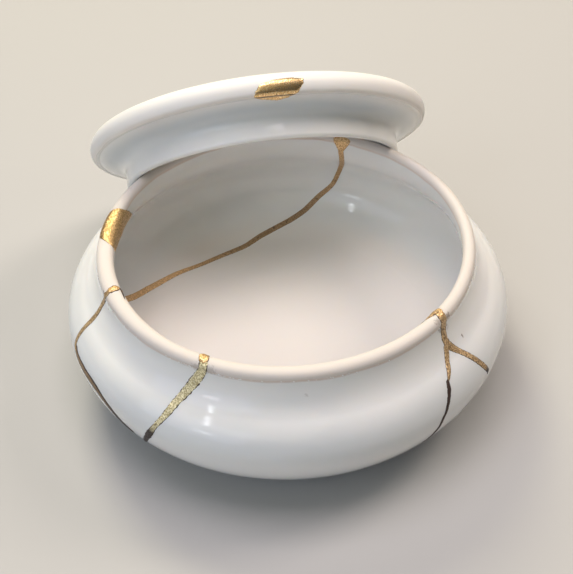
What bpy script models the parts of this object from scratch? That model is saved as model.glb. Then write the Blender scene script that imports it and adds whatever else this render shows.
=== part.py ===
"""A lidded porcelain box mended with gold: a round bowl, its lid leaning on the rear rim, and the mends.

The base centre of the bowl is the origin, X runs to the right, Y to the rear and Z up.
"""
import math

import bmesh
import bpy
from mathutils import Euler, Matrix, Vector

MM = 0.001

# Bowl
BOWL_HEIGHT = 42.0
RIM_RADIUS = 48.0
LIP_ROUND = 1.6
BAND_DEPTH = 2.6
BELLY_RADIUS = 57.7
BELLY_HEIGHT = 22.7
SHOULDER_WIDE, SHOULDER_HIGH = 12.7, 10.4
UNDER_WIDE, UNDER_HIGH = 19.7, 18.2
WALL = 3.0
FOOT_RADIUS = 37.0
FOOT_HEIGHT = 3.6

# Lid
EDGE_RADIUS = 48.2
EDGE_ROUND = 3.66
DOME_RISE = 3.4
LID_WALL = 3.4
NECK_DEPTH = 11.8
NECK_RADIUS = 40.1
NECK_ROUND = 1.34
WAIST_RADIUS = 38.6
WAIST_DROP = 8.2
LID_CENTRE = (-6.85, 49.89, 38.05)
LID_TILT = 50.04
LID_SWING = 7.71

# Mends
FIT_GAP = 0.3
PROUD = 0.15
SEAM_DEPTH = 0.9
CUT_ABOVE = 1.5

BOWL_SIDES = 52
LID_SIDES = 48

PORCELAIN = (0.78, 0.80, 0.82)
GOLD = (0.66, 0.46, 0.18)


def arc(centre, wide, high, start, end, steps):
    """Points of an ellipse arc between two angles in degrees."""
    angles = [math.radians(start + (end - start) * i / steps) for i in range(steps + 1)]
    return [(centre[0] + wide * math.cos(a), centre[1] + high * math.sin(a)) for a in angles]


def bend(start, pull_start, pull_end, end, steps):
    """Points of a cubic curve, without its two ends."""
    points = []
    for i in range(1, steps):
        t = i / steps
        weights = ((1 - t) ** 3, 3 * t * (1 - t) ** 2, 3 * t * t * (1 - t), t ** 3)
        corners = (start, pull_start, pull_end, end)
        points.append(tuple(sum(w * c[k] for w, c in zip(weights, corners)) for k in (0, 1)))
    return points


def bowl_outside(fine=1):
    """The outer half-section from the crest of the lip down to the end of the round belly."""
    lip = (RIM_RADIUS - LIP_ROUND, BOWL_HEIGHT - LIP_ROUND)
    shoulder_centre = (BELLY_RADIUS - SHOULDER_WIDE, BELLY_HEIGHT)
    shoulder = arc(shoulder_centre, SHOULDER_WIDE, SHOULDER_HIGH, 55, 0, 4 * fine)
    band = (RIM_RADIUS, BOWL_HEIGHT - BAND_DEPTH)
    cove = bend(band, (RIM_RADIUS, BOWL_HEIGHT - 6.2), (50.2, BOWL_HEIGHT - 9.3), shoulder[0], 4 * fine)
    under_centre = (BELLY_RADIUS - UNDER_WIDE, BELLY_HEIGHT)
    under = arc(under_centre, UNDER_WIDE, UNDER_HIGH, 0, -80, 6 * fine)
    return arc(lip, LIP_ROUND, LIP_ROUND, 90, 0, 3 * fine) + [band] + cove + shoulder + under[1:]


def bowl_inside(fine=1):
    """The inner half-section from the crest of the lip down to the middle of the floor."""
    lip = (RIM_RADIUS - LIP_ROUND, BOWL_HEIGHT - LIP_ROUND)
    under_centre = (BELLY_RADIUS - UNDER_WIDE, BELLY_HEIGHT)
    under = arc(under_centre, UNDER_WIDE - WALL, UNDER_HIGH - WALL + 0.3, -17.6, -84, 5 * fine)
    mouth = RIM_RADIUS - 2 * LIP_ROUND
    band = (mouth, BOWL_HEIGHT - BAND_DEPTH)
    swell = bend(band, (mouth, BOWL_HEIGHT - 11.5), (57.0, BELLY_HEIGHT + 4.3), under[0], 6 * fine)
    floor = (0.0, under[-1][1] - 0.25)
    return arc(lip, LIP_ROUND, LIP_ROUND, 90, 180, 3 * fine) + [band] + swell + under + [floor]


def foot():
    """The half-section of the plain foot, from the belly to the middle of the flat base."""
    return [(FOOT_RADIUS, FOOT_HEIGHT), (FOOT_RADIUS, 0.6), (FOOT_RADIUS - 0.6, 0.0), (0.0, 0.0)]


def dome(radius):
    """Height of the lid's top at a radius."""
    return EDGE_ROUND + DOME_RISE * 0.5 * (1 + math.cos(math.pi * radius / (EDGE_RADIUS - EDGE_ROUND)))


def lid_outside(fine=1):
    """The half-section over the lid's top, round its edge and down the cove to the waist."""
    shelf = EDGE_RADIUS - EDGE_ROUND
    top = [(shelf * i / (3 * fine), dome(shelf * i / (3 * fine))) for i in range(3 * fine)]
    edge = arc((shelf, 0.0), EDGE_ROUND, EDGE_ROUND, 90, -90, 7 * fine)
    cove = arc((shelf, -WAIST_DROP), shelf - WAIST_RADIUS, WAIST_DROP - EDGE_ROUND, 90, 180, 4 * fine)
    return top + edge + cove[1:]


def lid_inside():
    """The half-section round the lip of the neck and up to the middle of the hollow's ceiling."""
    lip = (NECK_RADIUS - NECK_ROUND, NECK_ROUND - NECK_DEPTH)
    rolled = arc(lip, NECK_ROUND, NECK_ROUND, 40, -180, 6)
    throat = WAIST_RADIUS - 2 * NECK_ROUND - 0.1
    corner_radius = throat - 3.4
    ceiling = dome(corner_radius) - LID_WALL
    corner = arc((corner_radius, -2.8), 3.4, ceiling + 2.8, 0, 90, 3)
    flat = [(corner_radius * i / 2, dome(corner_radius * i / 2) - LID_WALL) for i in (1, 0)]
    return rolled + [(throat, -WAIST_DROP)] + corner + flat


class Skin:
    """A half-section walked by distance from its start: where it is, and which way it faces."""

    def __init__(self, points, start):
        self.points = [Vector(p) for p in points]
        self.runs = [0.0]
        for a, b in zip(self.points, self.points[1:]):
            self.runs.append(self.runs[-1] + (b - a).length)
        self.start = self.runs[start]

    def place(self, run):
        walked = min(max(run + self.start, 0.0), self.runs[-1] - 1e-6)
        i = max(k for k in range(len(self.runs) - 1) if self.runs[k] <= walked)
        share = (walked - self.runs[i]) / max(self.runs[i + 1] - self.runs[i], 1e-9)
        return self.points[i].lerp(self.points[i + 1], share)

    def facing(self, run):
        along = (self.place(run + 0.25) - self.place(run - 0.25)).normalized()
        return Vector((-along.y, along.x))

    def raised(self, run, height):
        return self.place(run) + self.facing(run) * height


def turn(section_point, azimuth):
    """A point of a half-section, in millimetres, carried round the axis to an azimuth in degrees."""
    a = math.radians(azimuth)
    return Vector((section_point[0] * math.cos(a), section_point[0] * math.sin(a), section_point[1]))


def material(name, colour, roughness, metallic=0.0):
    made = bpy.data.materials.new(name)
    made.use_nodes = True
    shader = made.node_tree.nodes["Principled BSDF"]
    shader.inputs["Base Color"].default_value = (*colour, 1.0)
    shader.inputs["Roughness"].default_value = roughness
    shader.inputs["Metallic"].default_value = metallic
    return made


def mesh_object(name, mesh_data, look=None, collection=None):
    mesh = bpy.data.meshes.new(name)
    bmesh.ops.recalc_face_normals(mesh_data, faces=mesh_data.faces)
    if mesh_data.calc_volume(signed=True) < 0:
        bmesh.ops.reverse_faces(mesh_data, faces=mesh_data.faces)
    bmesh.ops.scale(mesh_data, vec=Vector((MM, MM, MM)), verts=mesh_data.verts)
    mesh_data.to_mesh(mesh)
    mesh_data.free()
    made = bpy.data.objects.new(name, mesh)
    (collection or bpy.context.scene.collection).objects.link(made)
    if look:
        mesh.materials.append(look)
        mesh.shade_smooth()
    return made


def turned(name, section, sides, look):
    """A solid of revolution from a half-section whose first and last points lie on the axis."""
    made = bmesh.new()
    top = made.verts.new((0.0, 0.0, section[0][1]))
    end = made.verts.new((0.0, 0.0, section[-1][1]))
    rings = []
    for point in section[1:-1]:
        rings.append([made.verts.new(turn(point, 360 * k / sides)) for k in range(sides)])
    for k in range(sides):
        after = (k + 1) % sides
        made.faces.new((top, rings[0][k], rings[0][after]))
        made.faces.new((end, rings[-1][after], rings[-1][k]))
        for upper, lower in zip(rings, rings[1:]):
            made.faces.new((upper[k], lower[k], lower[after], upper[after]))
    return mesh_object(name, made, look)


def loft(name, sections, look=None, collection=None):
    """A closed solid through equal rings of points, capped at both ends."""
    made = bmesh.new()
    rings = [[made.verts.new(p) for p in section] for section in sections]
    count = len(rings[0])
    for one, two in zip(rings, rings[1:]):
        for k in range(count):
            made.faces.new((one[k], one[(k + 1) % count], two[(k + 1) % count], two[k]))
    made.faces.new(rings[0])
    made.faces.new(reversed(rings[-1]))
    return mesh_object(name, made, look, collection)


def smooth_way(way, steps):
    """A rounded way through a few stations of azimuth, run and width."""
    padded = [Vector(p) for p in (way[0], *way, way[-1])]
    found = []
    for i in range(1, len(padded) - 2):
        before, one, two, after = padded[i - 1:i + 3]
        for k in range(steps):
            t = k / steps
            bulge = 2 * before - 5 * one + 4 * two - after
            twist = 3 * one - before - 3 * two + after
            found.append(0.5 * (2 * one + t * (two - before) + t * t * bulge + t ** 3 * twist))
    return found + [padded[-2]]


def seam_sections(skin, way, profile, grow, steps):
    """Cross-sections of a seam along its way, each a profile of half-widths and heights."""
    stations = smooth_way(way, steps)
    places = [turn(skin.place(s.y), s.x) for s in stations]
    sections = []
    for i, station in enumerate(stations):
        before = places[max(i - 1, 0)]
        after = places[min(i + 1, len(places) - 1)]
        along = (after - before).normalized()
        up = turn(skin.facing(station.y), station.x)
        side = along.cross(up).normalized()
        middle = places[i].copy()
        if i == 0:
            middle -= along * grow
        if i == len(places) - 1:
            middle += along * grow
        half = station.z / 2
        sections.append([middle + side * (half * wide + edge) + up * high for wide, edge, high in profile])
    return sections


SEAM_PROFILE = ((-1, 0, 0.0), (0, 0, PROUD), (1, 0, 0.0), (0.8, 0, -SEAM_DEPTH), (-0.8, 0, -SEAM_DEPTH))
GROOVE_PROFILE = ((-1, -FIT_GAP, CUT_ABOVE), (1, FIT_GAP, CUT_ABOVE),
                  (1, FIT_GAP, -SEAM_DEPTH - FIT_GAP), (-1, -FIT_GAP, -SEAM_DEPTH - FIT_GAP))


def patch_sections(skin, spans, points, grow=0.0):
    """Cross-sections of a fill over a rounded edge, each closed by a straight chord through the body."""
    sections = []
    last = len(spans) - 1
    for i, (azimuth, low, high) in enumerate(spans):
        runs = [low - grow + (high - low + 2 * grow) * k / (points - 1) for k in range(points)]
        height = CUT_ABOVE if grow else PROUD
        outline = [skin.raised(run, height) for run in runs]
        start, end = skin.place(runs[0]), skin.place(runs[-1])
        chord = (end - start).normalized()
        inward = Vector((chord.y, -chord.x))
        seat = [end + inward * grow, start + inward * grow] if grow else [end, start]
        spread = math.degrees(grow / start.x) * ((i == last) - (i == 0))
        sections.append([turn(p, azimuth + spread) for p in outline + seat])
    return sections


def cut(target, cutters):
    for cutter in cutters:
        step = target.modifiers.new(cutter.name, "BOOLEAN")
        step.operation = "DIFFERENCE"
        step.solver = "EXACT"
        step.object = cutter


def main():
    for leftover in list(bpy.data.objects):
        bpy.data.objects.remove(leftover, do_unlink=True)

    helpers = bpy.data.collections.new("cutters")
    bpy.context.scene.collection.children.link(helpers)

    porcelain = material("bowl_porcelain", PORCELAIN, 0.16)
    lid_porcelain = material("lid_porcelain", PORCELAIN, 0.18)
    rim_gold = material("rim_gold", GOLD, 0.42, 1.0)
    lid_gold = material("lid_gold", GOLD, 0.38, 1.0)
    long_gold = material("long_seam_gold", GOLD, 0.45, 1.0)
    front_gold = material("front_seam_gold", GOLD, 0.5, 1.0)
    forked_gold = material("forked_seam_gold", GOLD, 0.5, 1.0)

    bowl = turned("bowl", list(reversed(bowl_inside())) + bowl_outside()[1:] + foot(), BOWL_SIDES, porcelain)
    lid = turned("lid", lid_outside() + lid_inside(), LID_SIDES, lid_porcelain)

    inside = list(reversed(bowl_inside(4)))
    bowl_skin = Skin(inside + bowl_outside(4)[1:], len(inside) - 1)
    lid_edge = 3 * 4
    lid_skin = Skin(lid_outside(4), lid_edge)

    # Each station is an azimuth, a distance from the crest of the lip (outside is positive) and a width.
    long_way = (
        (68, -0.6, 5.8), (68.2, -2.6, 3.8), (68.4, -5.4, 1.7), (70.3, -15, 1.4), (72.3, -24, 1.4),
        (75.6, -29.4, 1.4), (82.4, -36.2, 1.4), (96, -43.4, 1.4), (114, -48, 1.4), (135, -46.8, 1.4),
        (153, -42.8, 1.4), (165, -38.2, 1.4), (178, -26.1, 1.4), (192, -12.7, 1.4), (200, -5.1, 1.5),
        (203, -2.4, 1.6), (203.4, 0, 1.9), (203.2, 1.8, 1.7), (201.4, 4.4, 1.6), (199.8, 7.5, 1.5),
        (199.6, 11.8, 1.4), (200, 15.3, 1.3), (200.5, 20.4, 1.2), (203.4, 22.5, 1), (208.4, 23.3, 0.9),
        (214.4, 23.8, 0.9), (219.4, 26, 0.9), (223.6, 28.4, 0.9),
    )
    front_way = (
        (245.4, -2.2, 1.8), (245.4, 0.3, 2.3), (245.4, 2, 2.4), (244, 4.8, 2.5), (241.7, 8.8, 2.7),
        (239.3, 13.2, 2.8), (237.6, 18, 2.6), (234.8, 23.4, 2.3), (231.6, 29.6, 1.8), (230, 33, 1.4),
    )
    stem_way = (
        (321.8, -2.2, 1.2), (320.4, -0.6, 1.6), (319, 1, 1.9), (318.9, 2.8, 1.7), (319.8, 6, 1.6),
        (320.4, 10, 1.7), (322.4, 13.6, 1.8), (324.4, 18, 1.7), (327.5, 22.6, 1.3), (329.2, 25.6, 1),
    )
    branch_way = (
        (319.6, 7.4, 1.3), (317.2, 11, 1.3), (314.3, 14.6, 1.2), (312.2, 18.4, 1), (309.6, 23.4, 1), (307.4, 29, 1),
    )

    def seam(name, way, steps, look, collection=None):
        return loft(name, seam_sections(bowl_skin, way, SEAM_PROFILE, 0.0, steps), look, collection)

    def groove(name, way, steps):
        return loft(name, seam_sections(bowl_skin, way, GROOVE_PROFILE, FIT_GAP, steps), None, helpers)

    seam("long_seam", long_way, 3, long_gold)
    seam("front_seam", front_way, 2, front_gold)
    forked = seam("forked_seam", stem_way, 2, forked_gold)
    branch = seam("branch", branch_way, 2, None, helpers)
    joined = forked.modifiers.new("branch", "BOOLEAN")
    joined.operation = "UNION"
    joined.solver = "EXACT"
    joined.object = branch

    # Each span is an azimuth and the two distances from the crest, or from the top of the edge, it reaches.
    rim_spans = (
        (153.4, -9.9, -8.7), (157.6, -8.6, -4.8), (162, -7.3, -0.8), (164.4, -7, 1.8),
        (169, -6.9, 2.6), (174, -6.3, 2.4), (178.6, -4.9, 1.2), (181.4, -2.9, -0.8),
    )
    rim_mend = loft("left_rim_mend", patch_sections(bowl_skin, rim_spans, 11), rim_gold)
    rim_notch = loft("rim_notch", patch_sections(bowl_skin, rim_spans, 11, FIT_GAP), collection=helpers)
    lid_spans = (
        (-95.4, 6.6, 8.6), (-93.8, 5.2, 9.8), (-90.4, 4.4, 10.3), (-86.4, 4.2, 9.9),
        (-83.4, 4.3, 9.3), (-80.8, 4.6, 8), (-79, 5.2, 6.8),
    )
    lid_mend = loft("lid_edge_mend", patch_sections(lid_skin, lid_spans, 8), lid_gold)
    lid_notch = loft("lid_notch", patch_sections(lid_skin, lid_spans, 8, FIT_GAP), collection=helpers)

    cut(bowl, [groove("long_groove", long_way, 3), groove("front_groove", front_way, 2),
               groove("stem_groove", stem_way, 2), groove("branch_groove", branch_way, 2), rim_notch])
    cut(lid, [lid_notch])

    resting = Matrix.Translation(Vector(LID_CENTRE) * MM)
    resting = resting @ Euler((math.radians(-LID_TILT), 0, math.radians(LID_SWING))).to_matrix().to_4x4()
    for piece in (lid, lid_mend, lid_notch):
        piece.matrix_world = resting

    for helper in helpers.objects:
        helper.hide_render = True
        helper.display_type = "WIRE"


main()
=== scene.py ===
# %% [markdown]
# # A porcelain box mended with gold
#
# The object is a squat round box of thin porcelain. It was broken once and mended by kintsugi: the pieces
# were glued with lacquer, and every join was painted with more lacquer and dusted with gold powder. Its lid
# has been lifted off and leans on the rear rim. This lesson dresses the plain CAD solids of the box with
# smooth turned porcelain, its glaze and its bare rim, and the fine grain of the gold. The outlines and the
# places of the mends are given in millimetres and turned into metres where the meshes are made.

# %% Load the frame
import math

import bmesh
import bpy
import numpy as np
from mathutils import Euler, Matrix, Quaternion, Vector


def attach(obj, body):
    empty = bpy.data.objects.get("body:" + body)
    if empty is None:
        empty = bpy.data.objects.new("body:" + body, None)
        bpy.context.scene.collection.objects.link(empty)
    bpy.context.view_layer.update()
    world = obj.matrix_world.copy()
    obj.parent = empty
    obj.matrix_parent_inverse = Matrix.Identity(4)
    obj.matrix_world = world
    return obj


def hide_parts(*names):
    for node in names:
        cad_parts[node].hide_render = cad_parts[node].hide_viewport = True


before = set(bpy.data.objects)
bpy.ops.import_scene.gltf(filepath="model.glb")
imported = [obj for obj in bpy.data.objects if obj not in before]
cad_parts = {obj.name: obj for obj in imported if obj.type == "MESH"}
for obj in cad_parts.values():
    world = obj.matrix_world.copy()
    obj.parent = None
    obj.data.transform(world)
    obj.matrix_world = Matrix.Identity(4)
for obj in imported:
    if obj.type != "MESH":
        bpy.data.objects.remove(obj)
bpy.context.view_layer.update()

# %% [markdown]
# ## The half-section of the bowl
#
# A pot thrown on a wheel is one outline turned round an axis, so the whole bowl is known once its
# half-section is drawn: a rolled lip, a short upright band, a cove that swings out into the shoulder, and
# the round belly. The outline could be a list of traced points, but a few arcs and soft curves stay smooth
# at any closeness.

# %% Draw arcs and soft curves
MM = 0.001


def arc(centre, wide, high, start, end, steps):
    """Points of an ellipse arc between two angles in degrees."""
    turn = np.radians(np.linspace(start, end, steps + 1))
    return np.stack([centre[0] + wide * np.cos(turn), centre[1] + high * np.sin(turn)], 1)


def soft(start, pull_start, pull_end, end, steps):
    """Points of a cubic curve, without its two ends."""
    t = np.linspace(0, 1, steps + 1)[1:-1, None]
    corners = [np.array(p, float) for p in (start, pull_start, pull_end, end)]
    weights = [(1 - t) ** 3, 3 * t * (1 - t) ** 2, 3 * t * t * (1 - t), t ** 3]
    return sum(w * c for w, c in zip(weights, corners))


# %% Draw the bowl
BOWL_HEIGHT = 42.0
RIM_RADIUS, LIP_ROUND, BAND_DEPTH = 48.0, 1.6, 2.6
BELLY_RADIUS, BELLY_HEIGHT = 57.7, 22.7
SHOULDER_WIDE, SHOULDER_HIGH = 12.7, 10.4
UNDER_WIDE, UNDER_HIGH = 19.7, 18.2
FOOT_RADIUS, FOOT_HEIGHT, FOOT_ROUND = 37.0, 2.4, 0.6
WALL, FLOOR_DIP = 3.0, 0.25

lip_centre = (RIM_RADIUS - LIP_ROUND, BOWL_HEIGHT - LIP_ROUND)
shoulder_centre = (BELLY_RADIUS - SHOULDER_WIDE, BELLY_HEIGHT)
under_centre = (BELLY_RADIUS - UNDER_WIDE, BELLY_HEIGHT)

shoulder = arc(shoulder_centre, SHOULDER_WIDE, SHOULDER_HIGH, 55, 0, 18)
band = (RIM_RADIUS, BOWL_HEIGHT - BAND_DEPTH)
cove = soft(band, (RIM_RADIUS, BOWL_HEIGHT - 6.2), (50.2, BOWL_HEIGHT - 9.3), shoulder[0], 16)
under = arc(under_centre, UNDER_WIDE, UNDER_HIGH, 0, -80, 34)
foot_side = (FOOT_RADIUS, FOOT_HEIGHT)
foot_top = soft(under[-1], (39.6, 3.9), (37.3, 4.2), foot_side, 8)
foot_edge = arc((FOOT_RADIUS - FOOT_ROUND, FOOT_ROUND), FOOT_ROUND, FOOT_ROUND, 0, -90, 5)
base = [(r, 0.0) for r in np.linspace(34, 0, 7)]
bowl_outer = np.vstack([arc(lip_centre, LIP_ROUND, LIP_ROUND, 90, 0, 12), [band], cove, shoulder, under[1:],
                        foot_top, [foot_side], foot_edge, base])

mouth = RIM_RADIUS - 2 * LIP_ROUND
band_in = (mouth, BOWL_HEIGHT - BAND_DEPTH)
under_in = arc(under_centre, UNDER_WIDE - WALL, UNDER_HIGH - WALL + 0.3, -17.6, -84, 28)
swell_in = soft(band_in, (mouth, BOWL_HEIGHT - 11.5), (57.0, BELLY_HEIGHT + 4.3), under_in[0], 34)
floor_edge = under_in[-1][1]
floor_middle = (0, floor_edge - FLOOR_DIP)
floor = soft(under_in[-1], (30, floor_edge - 0.18), (14, floor_middle[1]), floor_middle, 14)
bowl_inner = np.vstack([arc(lip_centre, LIP_ROUND, LIP_ROUND, 90, 180, 12), [band_in], swell_in, under_in,
                        floor, [floor_middle]])
print("bowl outline points:", len(bowl_outer) + len(bowl_inner))

# %% [markdown]
# ## The half-section of the lid
#
# The lid is a shallow dome with a full rounded edge that ends below in a fairly crisp turn. From there a
# glazed cove runs in to a short hollow neck with a rolled lip, the part that drops into the mouth of the
# bowl when the box is shut. The same arcs and soft curves draw it.

# %% Draw the lid
EDGE_RADIUS, EDGE_ROUND, EDGE_END = 48.2, 3.66, -28
ARRIS, ARRIS_END = 1.7, -104
WAIST_RADIUS, WAIST_HEIGHT = 38.9, -7.0
NECK_DEPTH, NECK_RADIUS, NECK_ROUND = 11.5, 39.0, 1.0
THROAT, THROAT_HEIGHT = 35.8, -8.2
CORNER_WIDE, CORNER_HEIGHT = 3.4, -2.8
LID_WALL, DOME_RISE = 3.4, 3.4
SHELF = EDGE_RADIUS - EDGE_ROUND


def dome(radius):
    """Height of the lid's top at a radius."""
    return EDGE_ROUND + DOME_RISE * 0.5 * (1 + np.cos(np.pi * np.asarray(radius) / SHELF))


top_radii = np.linspace(0, SHELF, 33)[:-1]
lid_top = np.stack([top_radii, dome(top_radii)], 1)
lid_edge = arc((SHELF, 0), EDGE_ROUND, EDGE_ROUND, 90, EDGE_END, 26)
turn_in, inside = math.radians(EDGE_END), EDGE_ROUND - ARRIS
arris_at = (SHELF + inside * math.cos(turn_in), inside * math.sin(turn_in))
lid_arris = arc(arris_at, ARRIS, ARRIS, EDGE_END, ARRIS_END, 14)[1:]
waist = (WAIST_RADIUS, WAIST_HEIGHT)
lid_cove = soft(lid_arris[-1], (44.4, -3.5), (WAIST_RADIUS, -3.7), waist, 20)
lip_at = (NECK_RADIUS - NECK_ROUND, NECK_ROUND - NECK_DEPTH)
neck_lip = arc(lip_at, NECK_ROUND, NECK_ROUND, 8, -180, 26)
neck_side = soft(waist, (WAIST_RADIUS, -8.2), (NECK_RADIUS, -9.2), neck_lip[0], 9)
corner_radius = THROAT - CORNER_WIDE
ceiling = float(dome(corner_radius)) - LID_WALL
corner = arc((corner_radius, CORNER_HEIGHT), CORNER_WIDE, ceiling - CORNER_HEIGHT, 0, 90, 10)
ceiling_radii = np.linspace(corner_radius, 0, 18)[1:]
lid_ceiling = np.stack([ceiling_radii, dome(ceiling_radii) - LID_WALL], 1)
lid_outline = np.vstack([lid_top, lid_edge, lid_arris, lid_cove, [waist], neck_side,
                         neck_lip, [(THROAT, THROAT_HEIGHT)], corner, lid_ceiling])
print("lid outline points:", len(lid_outline))

# %% [markdown]
# ## Walking along the skin
#
# Every mend is told where it lies by two plain numbers: how far round the pot, and how far along its skin
# from the start of the walk, which is the crest of the lip on the bowl and the end of the dome on the lid.
# A small class turns those into a place and the way the skin faces there. The glued pieces of the rim don't
# meet quite truly: at the left the inside of the rim stands in by about a millimetre. That is done by one
# rule that moves any point, so the porcelain and the gold on it move together.


# %% Walk along a half-section
# Places round the rim in degrees, and how far its inside stands in there in millimetres.
MISFIT_AT = (148, 156, 168, 205, 232, 270, 300, 332, 345)
MISFIT = (0, 0.25, 1.1, 1.05, 0.4, 0.5, 0.45, 0.1, 0)


def ease(t):
    t = np.clip(t, 0, 1)
    return t * t * (3 - 2 * t)


def settled(points):
    """Moves points in millimetres by the misfit of the glued rim pieces, inside the rim only."""
    azimuth = np.degrees(np.arctan2(points[:, 1], points[:, 0])) % 360
    radius = np.hypot(points[:, 0], points[:, 1])
    amount = np.interp(azimuth, MISFIT_AT, MISFIT)
    amount = amount * ease((RIM_RADIUS - radius) / 2.4) * ease((points[:, 2] - 28) / 8)
    inward = (radius - amount) / np.maximum(radius, 0.001)
    return points * np.stack([inward, inward, np.ones(len(points))], 1)


class Skin:
    """A half-section walked by distance from its start: where it is, and which way it faces."""

    def __init__(self, points, start, misfit=None):
        self.points = np.asarray(points, float)
        steps = np.hypot(*np.diff(self.points, axis=0).T)
        self.run = np.concatenate([[0], np.cumsum(steps)])
        self.run -= self.run[start]
        self.misfit = misfit

    def at(self, run):
        return np.array([np.interp(run, self.run, self.points[:, k]) for k in (0, 1)])

    def facing(self, run):
        along = self.at(run + 0.2) - self.at(run - 0.2)
        along /= np.hypot(*along)
        return np.array([-along[1], along[0]])

    def place(self, azimuth, run, height=0.0):
        """A point over the skin, in millimetres, and the way the skin faces."""
        r, z = self.at(run)
        a = math.radians(azimuth)
        nr, nz = self.facing(run)
        foot = np.array([r * math.cos(a), r * math.sin(a), z])
        if self.misfit:
            foot = self.misfit(foot[None])[0]
        up = np.array([nr * math.cos(a), nr * math.sin(a), nz])
        return foot + up * height, up


bowl_skin = Skin(np.vstack([bowl_inner[::-1], bowl_outer[1:]]), len(bowl_inner) - 1, settled)
lid_skin = Skin(lid_outline, len(lid_top))
print("skin of the bowl runs from", bowl_skin.run[[0, -1]].round(1), "mm")

# %% [markdown]
# ## Turning a piece: a Geometry Nodes wheel
#
# Both the bowl and the lid follow one rule, so one node tree makes them. It lays out a flat grid, one
# column for each step round the wheel and one row for each point of the outline, and moves every grid point
# to its place. `Sway` pushes the circle a little out of round and `Ripple` leaves the faint unevenness of
# hand turning. The distance along the skin is kept on each point, because the glaze and the bare rim will
# be painted by it.


# %% Small helpers for node trees
def wire(tree, kind, links=(), **settings):
    """Adds a node, sets its properties, and joins or sets its inputs in order."""
    node = tree.nodes.new(kind)
    for name, value in settings.items():
        setattr(node, name, value)
    for socket, source in links:
        target = node.inputs[socket]
        if isinstance(source, bpy.types.NodeSocket):
            tree.links.new(source, target)
        else:
            target.default_value = source
    return node


def calc(tree, operation, *values):
    """One Math node; values are numbers or sockets."""
    return wire(tree, "ShaderNodeMath", list(enumerate(values)), operation=operation).outputs[0]


def noise(tree, place, scale, detail, roughness=0.5, seed=None):
    """Noise at a place, from 0 to 1; a seed makes it differ from piece to piece."""
    links = [("Vector", place), ("Scale", scale), ("Detail", detail), ("Roughness", roughness)]
    if seed is None:
        return wire(tree, "ShaderNodeTexNoise", links).outputs[0]
    return wire(tree, "ShaderNodeTexNoise", [*links, ("W", seed)], noise_dimensions="4D").outputs[0]


def swing(tree, value, size):
    """Turns a value from 0 to 1 into one that swings by half of size to either side of 0."""
    return calc(tree, "MULTIPLY", calc(tree, "SUBTRACT", value, 0.5), size)


# %% Parts that the geometry trees share
WELD = 2e-6


def new_tree(name, first, kinds, last):
    """An empty Geometry Nodes tree with its named inputs and its output."""
    tree = bpy.data.node_groups.new(name, "GeometryNodeTree")
    face = tree.interface
    face.new_socket(first, in_out="INPUT", socket_type="NodeSocketGeometry")
    for label, kind in kinds:
        face.new_socket(label, in_out="INPUT", socket_type="NodeSocket" + kind)
    face.new_socket(last, in_out="OUTPUT", socket_type="NodeSocketGeometry")
    return tree, tree.nodes.new("NodeGroupInput").outputs


def nearest(tree, share, count):
    """The number of the path point that lies at a share from -0.5 to 0.5."""
    place = calc(tree, "MULTIPLY", calc(tree, "ADD", share, 0.5), calc(tree, "SUBTRACT", count, 1))
    return wire(tree, "FunctionNodeFloatToInt", [(0, place)], rounding_mode="ROUND").outputs[0]


def sampled(tree, path, index, name, kind):
    """Reads a named value, or the place itself, from one point of a path."""
    if name is None:
        source = tree.nodes.new("GeometryNodeInputPosition").outputs[0]
    else:
        source = wire(tree, "GeometryNodeInputNamedAttribute", [("Name", name)], data_type=kind).outputs[0]
    return wire(tree, "GeometryNodeSampleIndex", [("Geometry", path), ("Value", source), ("Index", index)],
                data_type=kind, domain="POINT").outputs[0]


def noted(tree, geometry, label, value):
    """Writes a number on every point under a label."""
    return wire(tree, "GeometryNodeStoreNamedAttribute",
                [("Geometry", geometry), ("Name", label), ("Value", value)],
                data_type="FLOAT", domain="POINT").outputs[0]


def wrapped(tree, grid, places):
    """Moves the points of a grid to their places and joins those that meet there."""
    moved = wire(tree, "GeometryNodeSetPosition", [("Geometry", grid), ("Position", places)]).outputs[0]
    return wire(tree, "GeometryNodeMergeByDistance", [("Geometry", moved), ("Distance", WELD)]).outputs[0]


def put_out(tree, geometry, material):
    """Ends a tree with smooth faces, real geometry and the finish."""
    smooth = wire(tree, "GeometryNodeSetShadeSmooth", [("Geometry", geometry), ("Shade Smooth", True)])
    whole = wire(tree, "GeometryNodeRealizeInstances", [("Geometry", smooth.outputs[0])])
    painted = wire(tree, "GeometryNodeSetMaterial", [("Geometry", whole.outputs[0]), ("Material", material)])
    wire(tree, "NodeGroupOutput", [(0, painted.outputs[0])])


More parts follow.
